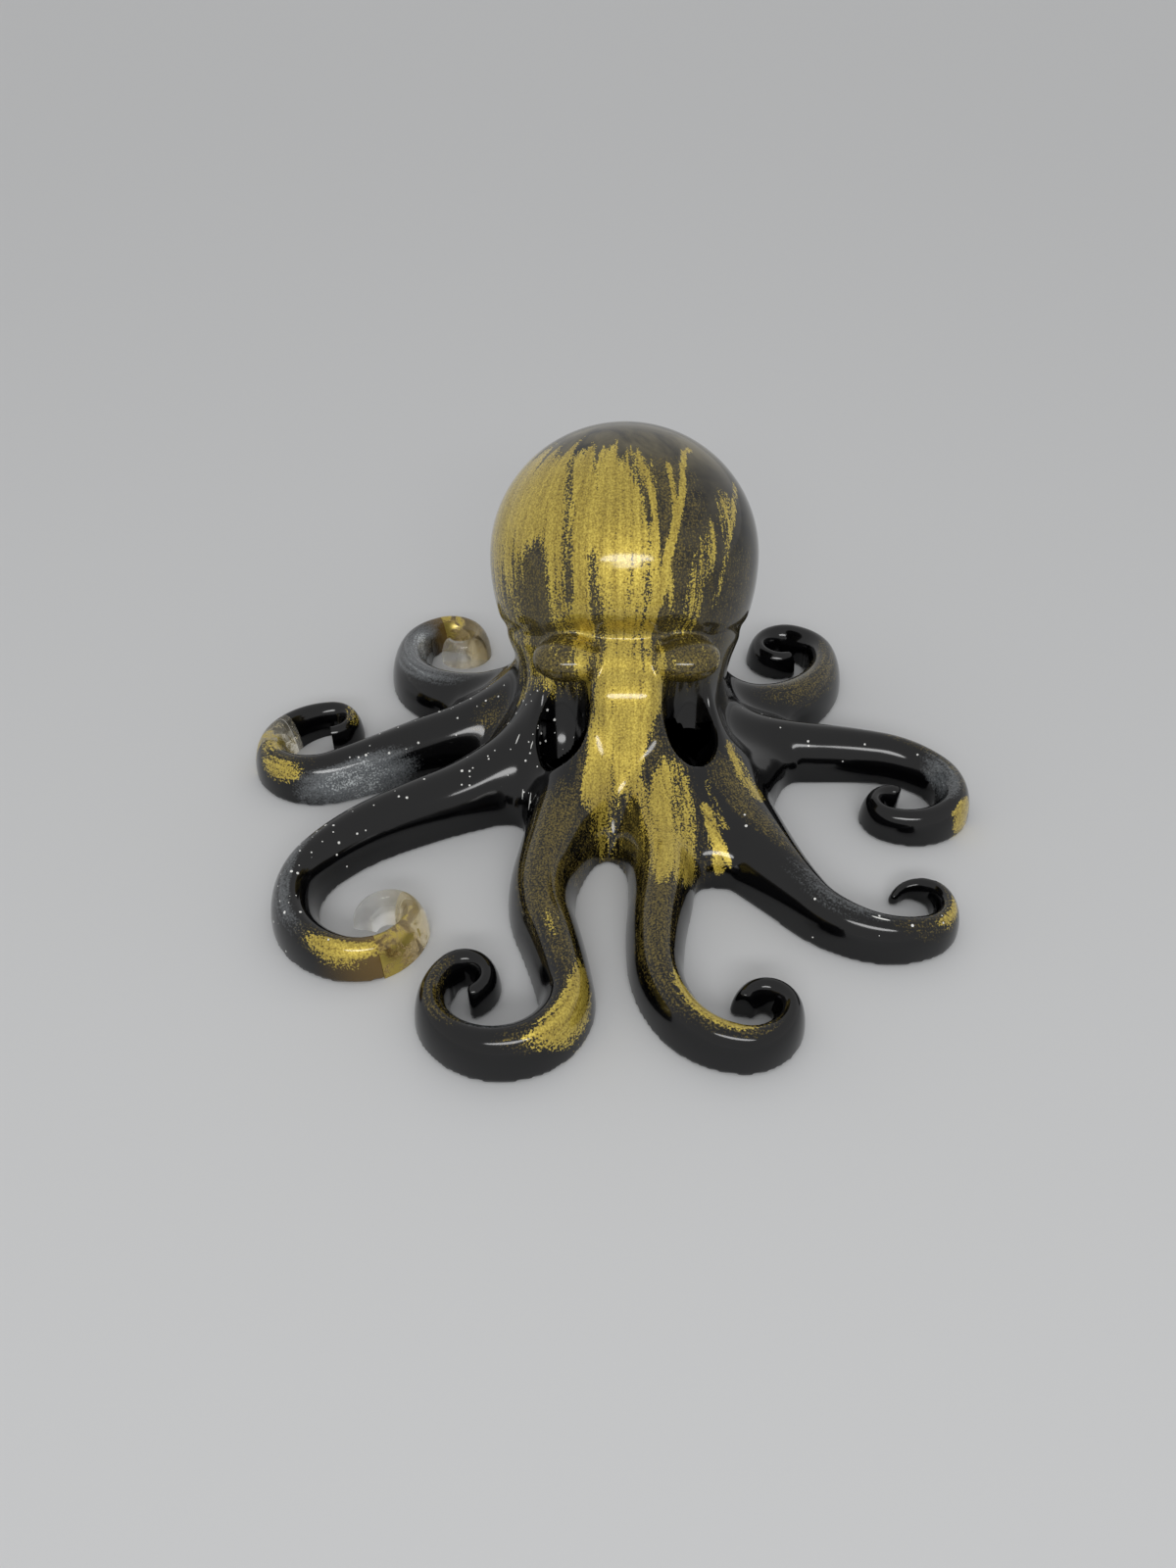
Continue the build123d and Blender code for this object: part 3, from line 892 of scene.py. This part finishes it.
def cast_resin(name):
    """Black casting epoxy with gold and silver mica under its glassy skin."""
    material, tree = empty_material(name)
    amount = {
        key: add_node(tree, "ShaderNodeAttribute", attribute_name=key).outputs["Fac"]
        for key in ("gilding", "dust", "pearl", "smoke", "flecks", "stain")
    }
    grain = add_node(tree, "ShaderNodeAttribute", attribute_name="grain").outputs["Vector"]
    place = add_node(tree, "ShaderNodeTexCoord").outputs["Object"]
    wide_noise = {"Vector": grain, "Scale": 1 / streak_width, "Detail": 5.0, "Roughness": 0.62}
    thin_noise = {"Vector": grain, "Scale": 1 / fine_streak_width, "Detail": 5.0, "Roughness": 0.65}
    hair_noise = {"Vector": grain, "Scale": 1 / hair_width, "Detail": 3.0, "Roughness": 0.6}
    mica_noise = {"Vector": place, "Scale": 1 / (mica_size * mm), "Detail": 2.0, "Roughness": 0.6}
    cloud_noise = {"Vector": place, "Scale": 1 / (cloud_size * mm), "Detail": 6.0, "Roughness": 0.6}
    cloud_noise["Distortion"] = 1.2
    wide, thin, hair, mica, cloud = [
        add_node(tree, "ShaderNodeTexNoise", noise)
        for noise in (wide_noise, thin_noise, hair_noise, mica_noise, cloud_noise)
    ]
    two = add_node(tree, "ShaderNodeMath", {0: wide, 1: thin}, operation="ADD")
    ragged = add_node(tree, "ShaderNodeMath", {0: two, 1: mica}, operation="ADD")
    uneven = {"Value": ragged, "From Min": 1.15, "From Max": 1.85, "To Min": -0.5, "To Max": 0.5}
    uneven = add_node(tree, "ShaderNodeMapRange", uneven, clamp=False)
    fine = add_node(tree, "ShaderNodeMath", {0: hair, 1: mica}, operation="ADD")
    fine = {"Value": fine, "From Min": 0.75, "From Max": 1.25, "To Min": -0.5, "To Max": 0.5}
    fine = add_node(tree, "ShaderNodeMapRange", fine, clamp=False)

    # noise moves a pigment's edge, but adds none where there is no pigment
    loose = add_node(tree, "ShaderNodeMath", {0: uneven, 1: 0.5, 2: fine}, operation="MULTIPLY_ADD")
    level = {}
    for key, noise in {"gilding": uneven, "dust": loose, "pearl": uneven}.items():
        held = add_node(tree, "ShaderNodeMapRange", {"Value": amount[key], "From Max": 0.3})
        level[key] = {0: noise, 1: held, 2: amount[key]}
        level[key] = add_node(tree, "ShaderNodeMath", level[key], operation="MULTIPLY_ADD")
    leaf = {"Value": level["gilding"], "From Min": 0.4, "From Max": 0.56, "To Max": 1.0}
    dust = {"Value": level["dust"], "From Min": 0.3, "From Max": 1.1, "To Max": 0.9}
    pearl = {"Value": level["pearl"], "From Min": 0.2, "From Max": 1.0, "To Max": 0.7}
    frost = {"Value": level["pearl"], "From Min": 1.05, "From Max": 1.35, "To Max": 0.9}
    leaf, dust, pearl, frost = [
        add_node(tree, "ShaderNodeMapRange", cover) for cover in (leaf, dust, pearl, frost)
    ]
    smoke = add_node(tree, "ShaderNodeMapRange", {"Value": cloud, "From Min": 0.3, "From Max": 0.65})
    smoke = add_node(tree, "ShaderNodeMath", {0: smoke, 1: amount["smoke"]}, operation="MULTIPLY")

    # one white speck to a cell at most, in round dots and in flakes along the flow
    dot_cells = {"Vector": place, "Scale": 1 / (fleck_spacing * mm)}
    flake_cells = {"Vector": grain, "Scale": 1 / flake_width}
    specks = []
    for cells, size, chance in ((dot_cells, 0.2, 0.8), (flake_cells, 0.2, 0.25)):
        cell_node = add_node(tree, "ShaderNodeTexVoronoi", cells)
        draws = add_node(tree, "ShaderNodeSeparateXYZ", {0: cell_node.outputs["Color"]}).outputs
        reach = {"Value": draws[1], "To Min": size * 0.35, "To Max": size}
        reach = add_node(tree, "ShaderNodeMapRange", reach)
        near = {0: cell_node.outputs["Distance"], 1: reach}
        near = add_node(tree, "ShaderNodeMath", near, operation="LESS_THAN")
        odds = add_node(tree, "ShaderNodeMath", {0: amount["flecks"], 1: chance}, operation="MULTIPLY")
        chosen = add_node(tree, "ShaderNodeMath", {0: draws[0], 1: odds}, operation="LESS_THAN")
        both = add_node(tree, "ShaderNodeMath", {0: near, 1: chosen}, operation="MULTIPLY")
        specks.append(both)
    speck = add_node(tree, "ShaderNodeMath", {0: specks[0], 1: specks[1]}, operation="MAXIMUM")

    # gold and bronze vary from grain to grain, and each layer lies over the ones before it
    sheen, grit = [
        add_node(tree, "ShaderNodeMapRange", {"Value": noise, "From Min": 0.35, "From Max": 0.65})
        for noise in (thin, mica)
    ]
    dull_gold = (sheen, linear("#7d6822"), linear("#b2993a"))
    bright_gold = (sheen, linear("#c2aa46"), linear("#e6d060"))
    bronze = (grit, linear("#2e2712"), linear("#857436"))
    dull_gold, bright_gold, bronze = [
        add_node(tree, "ShaderNodeMix", {0: factor, 6: dark, 7: light}, data_type="RGBA").outputs[2]
        for factor, dark, light in (dull_gold, bright_gold, bronze)
    ]
    black = {0: smoke, 6: linear("#050506"), 7: linear("#6a624a")}
    colour = add_node(tree, "ShaderNodeMix", black, data_type="RGBA")
    gold = {0: grit, 6: dull_gold, 7: bright_gold}
    gold = add_node(tree, "ShaderNodeMix", gold, data_type="RGBA").outputs[2]
    layers = (
        (amount["stain"], linear("#6e5627")),
        (pearl, linear("#85898c")),
        (frost, linear("#d5dadb")),
        (dust, bronze),
        (leaf, gold),
        (speck, linear("#f0f0ec")),
    )
    for cover, layer in layers:
        inputs = {0: cover, 6: colour.outputs[2], 7: layer}
        colour = add_node(tree, "ShaderNodeMix", inputs, data_type="RGBA")
    metal = add_node(tree, "ShaderNodeMath", {0: leaf, 1: dust}, operation="MAXIMUM")
    metal = add_node(tree, "ShaderNodeMapRange", {"Value": metal, "To Max": 0.75})
    skin = {
        "Base Color": colour.outputs[2],
        "Metallic": metal,
        "Roughness": 0.5,
        "IOR": resin_index,
        "Specular IOR Level": 0.0,
        "Coat Weight": 1.0,
        "Coat Roughness": 0.1,
        "Coat IOR": resin_index,
    }
    surface = add_node(tree, "ShaderNodeBsdfPrincipled", skin)
    add_node(tree, "ShaderNodeOutputMaterial", {"Surface": surface})
    return material


black_resin = cast_resin("black_cast_epoxy")
gold_veined_resin = cast_resin("gold_veined_cast_epoxy")
for name in part_names:
    pieces[name].data.materials.append(black_resin if name.endswith("_arm") else gold_veined_resin)
print("cast resin:", len(black_resin.node_tree.nodes), "nodes")

# %% [markdown]
# ## Amber and clear epoxy
#
# The later pours hold little or no pigment, so light goes through them. Amber pales along the arm into
# clear, and gold leaf floats in it. A clear pour bends light as glass does, with the same index as the
# black one.

# %% Amber and clear resin
leaf_flake_size = 2.4
end_share = 0.97


def leafed_resin(name, first_tint, last_tint, first_leaf, last_leaf, clearness):
    """Tinted casting epoxy that pales along the arm, with gold leaf afloat in it."""
    material, tree = empty_material(name)
    way = add_node(tree, "ShaderNodeAttribute", attribute_name="part_way").outputs["Fac"]
    place = add_node(tree, "ShaderNodeTexCoord").outputs["Object"]
    flakes = {"Vector": place, "Scale": 1 / (leaf_flake_size * mm), "Detail": 6.0, "Roughness": 0.68}
    flakes["Distortion"] = 0.6
    flakes = add_node(tree, "ShaderNodeTexNoise", flakes)
    share = add_node(tree, "ShaderNodeMapRange", {"Value": way, "To Min": first_leaf, "To Max": last_leaf})
    level = add_node(tree, "ShaderNodeMath", {0: flakes, 1: share}, operation="ADD")
    leaf = add_node(tree, "ShaderNodeMapRange", {"Value": level, "From Min": 0.7, "From Max": 0.82})
    tint = {0: way, 6: linear(first_tint), 7: linear(last_tint)}
    tint = add_node(tree, "ShaderNodeMix", tint, data_type="RGBA").outputs[2]
    gold = {0: flakes, 6: linear("#8f7a34"), 7: linear("#d9c467")}
    gold = add_node(tree, "ShaderNodeMix", gold, data_type="RGBA").outputs[2]
    colour = add_node(tree, "ShaderNodeMix", {0: leaf, 6: tint, 7: gold}, data_type="RGBA").outputs[2]
    through = add_node(tree, "ShaderNodeMapRange", {"Value": leaf, "To Min": clearness, "To Max": 0.0})
    metal = add_node(tree, "ShaderNodeMapRange", {"Value": leaf, "To Max": 0.7})
    rough = add_node(tree, "ShaderNodeMapRange", {"Value": leaf, "To Min": 0.04, "To Max": 0.35})
    skin = {
        "Base Color": colour,
        "Metallic": metal,
        "Roughness": rough,
        "IOR": resin_index,
        "Transmission Weight": through,
    }
    surface = add_node(tree, "ShaderNodeBsdfPrincipled", skin)
    add_node(tree, "ShaderNodeOutputMaterial", {"Surface": surface})
    return material


def water_clear_resin(name):
    """Casting epoxy without pigment, a little amber where it leaves the band before it."""
    material, tree = empty_material(name)
    way = add_node(tree, "ShaderNodeAttribute", attribute_name="part_way").outputs["Fac"]
    way = add_node(tree, "ShaderNodeMapRange", {"Value": way, "From Max": 0.6})
    tint = {0: way, 6: linear("#e2d3a8"), 7: linear("#f6f5f0")}
    tint = add_node(tree, "ShaderNodeMix", tint, data_type="RGBA").outputs[2]
    skin = {
        "Base Color": tint,
        "Roughness": 0.04,
        "IOR": resin_index,
        "Transmission Weight": 1.0,
        "Alpha": 0.6,
    }
    surface = add_node(tree, "ShaderNodeBsdfPrincipled", skin)
    add_node(tree, "ShaderNodeOutputMaterial", {"Surface": surface})
    return material


def pour_line():
    """Nothing lies between two pours, so the cap where they meet lets light through."""
    material, tree = empty_material("pour_line")
    open_face = add_node(tree, "ShaderNodeBsdfTransparent")
    add_node(tree, "ShaderNodeOutputMaterial", {"Surface": open_face})
    return material


amber_resin = leafed_resin("amber_cast_epoxy", "#b89a58", "#e2d3a8", 0.3, 0.02, 0.8)
clear_resin = water_clear_resin("clear_cast_epoxy")
leafed_clear_resin = leafed_resin("gold_leafed_clear_epoxy", "#cfc6ac", "#dcd7c8", 0.28, 0.1, 0.92)
between_pours = pour_line()
slot_resins = {"amber_resin": amber_resin, "clear_resin": clear_resin, "black_resin": black_resin}
for name, stretch in stretches.items():
    mesh = pieces[name].data
    resin = leafed_clear_resin if name.endswith("_bend") else slot_resins[stretch.slot]
    mesh.materials.clear()
    mesh.materials.append(resin)
    if resin is not black_resin:
        mesh.materials.append(between_pours)
        points, _ = lines[stretch.arm]
        caps = [face for face in mesh.polygons if len(face.vertices) > 4]
        for face in caps:
            away = np.linalg.norm(points - np.array(face.center)[:2] / mm, axis=1)
            face.material_index = 1 if away.argmin() / walk_steps < end_share else 0
        print(name, resin.name, "with", sum(face.material_index for face in caps), "pour lines")

# %% [markdown]
# ## Camera, table and light
#
# The photograph was taken from a little above, with a phone's wide lens. The table is pale and plain. A
# long soft lamp over the camera draws the bright bars on the mantle and along the arms, and the white
# room does the rest.

# %% Camera
camera_place = Vector((-6.0, -142.0, 117.0)) * mm
camera_pitch_down = 40.0
lens_pixels, photo_height = 1080.0, 1600.0
camera_data = bpy.data.cameras.new("camera")
camera_data.sensor_fit = "VERTICAL"
camera_data.sensor_height = 36.0
camera_data.lens = camera_data.sensor_height * lens_pixels / photo_height
camera_data.clip_start = 0.005
camera = bpy.data.objects.new("camera", camera_data)
camera.location = camera_place
camera.rotation_euler = Euler((np.radians(90 - camera_pitch_down), 0, 0))
bpy.context.scene.collection.objects.link(camera)
bpy.context.scene.camera = camera
print("lens:", round(camera_data.lens, 2), "mm")

# %% Table and lamps
table_reach, table_level = 2.0, -0.05 * mm
table_square = ((-1, -1), (1, -1), (1, 1), (-1, 1))
table_colour, table_roughness = "#d6d7d8", 0.9
lamp_sizes, lamp_power = (0.4, 0.08), 0.7
lamp_place, lamp_aim = Vector((0.005, -0.45, 0.265)), Vector((0, 0.01, 0.03))
room_colour, room_strength = (1, 1, 1, 1), 0.62
table_mesh = bpy.data.meshes.new("table")
table_corners = [(a * table_reach, b * table_reach, table_level) for a, b in table_square]
table_mesh.from_pydata(table_corners, [], [(0, 1, 2, 3)])
table = bpy.data.objects.new("table", table_mesh)
bpy.context.scene.collection.objects.link(table)
paper = bpy.data.materials.new("pale_table")
paper.use_nodes = True
paper_inputs = paper.node_tree.nodes["Principled BSDF"].inputs
paper_inputs["Base Color"].default_value = linear(table_colour)
paper_inputs["Roughness"].default_value = table_roughness
table_mesh.materials.append(paper)
lamp_data = bpy.data.lights.new("strip_lamp", "AREA")
lamp_data.shape = "ELLIPSE"
lamp_data.size, lamp_data.size_y = lamp_sizes
lamp_data.energy = lamp_power
lamp = bpy.data.objects.new("strip_lamp", lamp_data)
lamp.location = lamp_place
lamp.rotation_euler = (lamp_aim - lamp_place).to_track_quat("-Z", "Y").to_euler()
bpy.context.scene.collection.objects.link(lamp)
world = bpy.data.worlds.new("room")
world.use_nodes = True
room_inputs = world.node_tree.nodes["Background"].inputs
room_inputs["Color"].default_value = room_colour
room_inputs["Strength"].default_value = room_strength
bpy.context.scene.world = world
bpy.context.scene.view_settings.view_transform = "Standard"
print("lamp:", round((lamp_aim - lamp_place).length, 2), "m from the ornament")
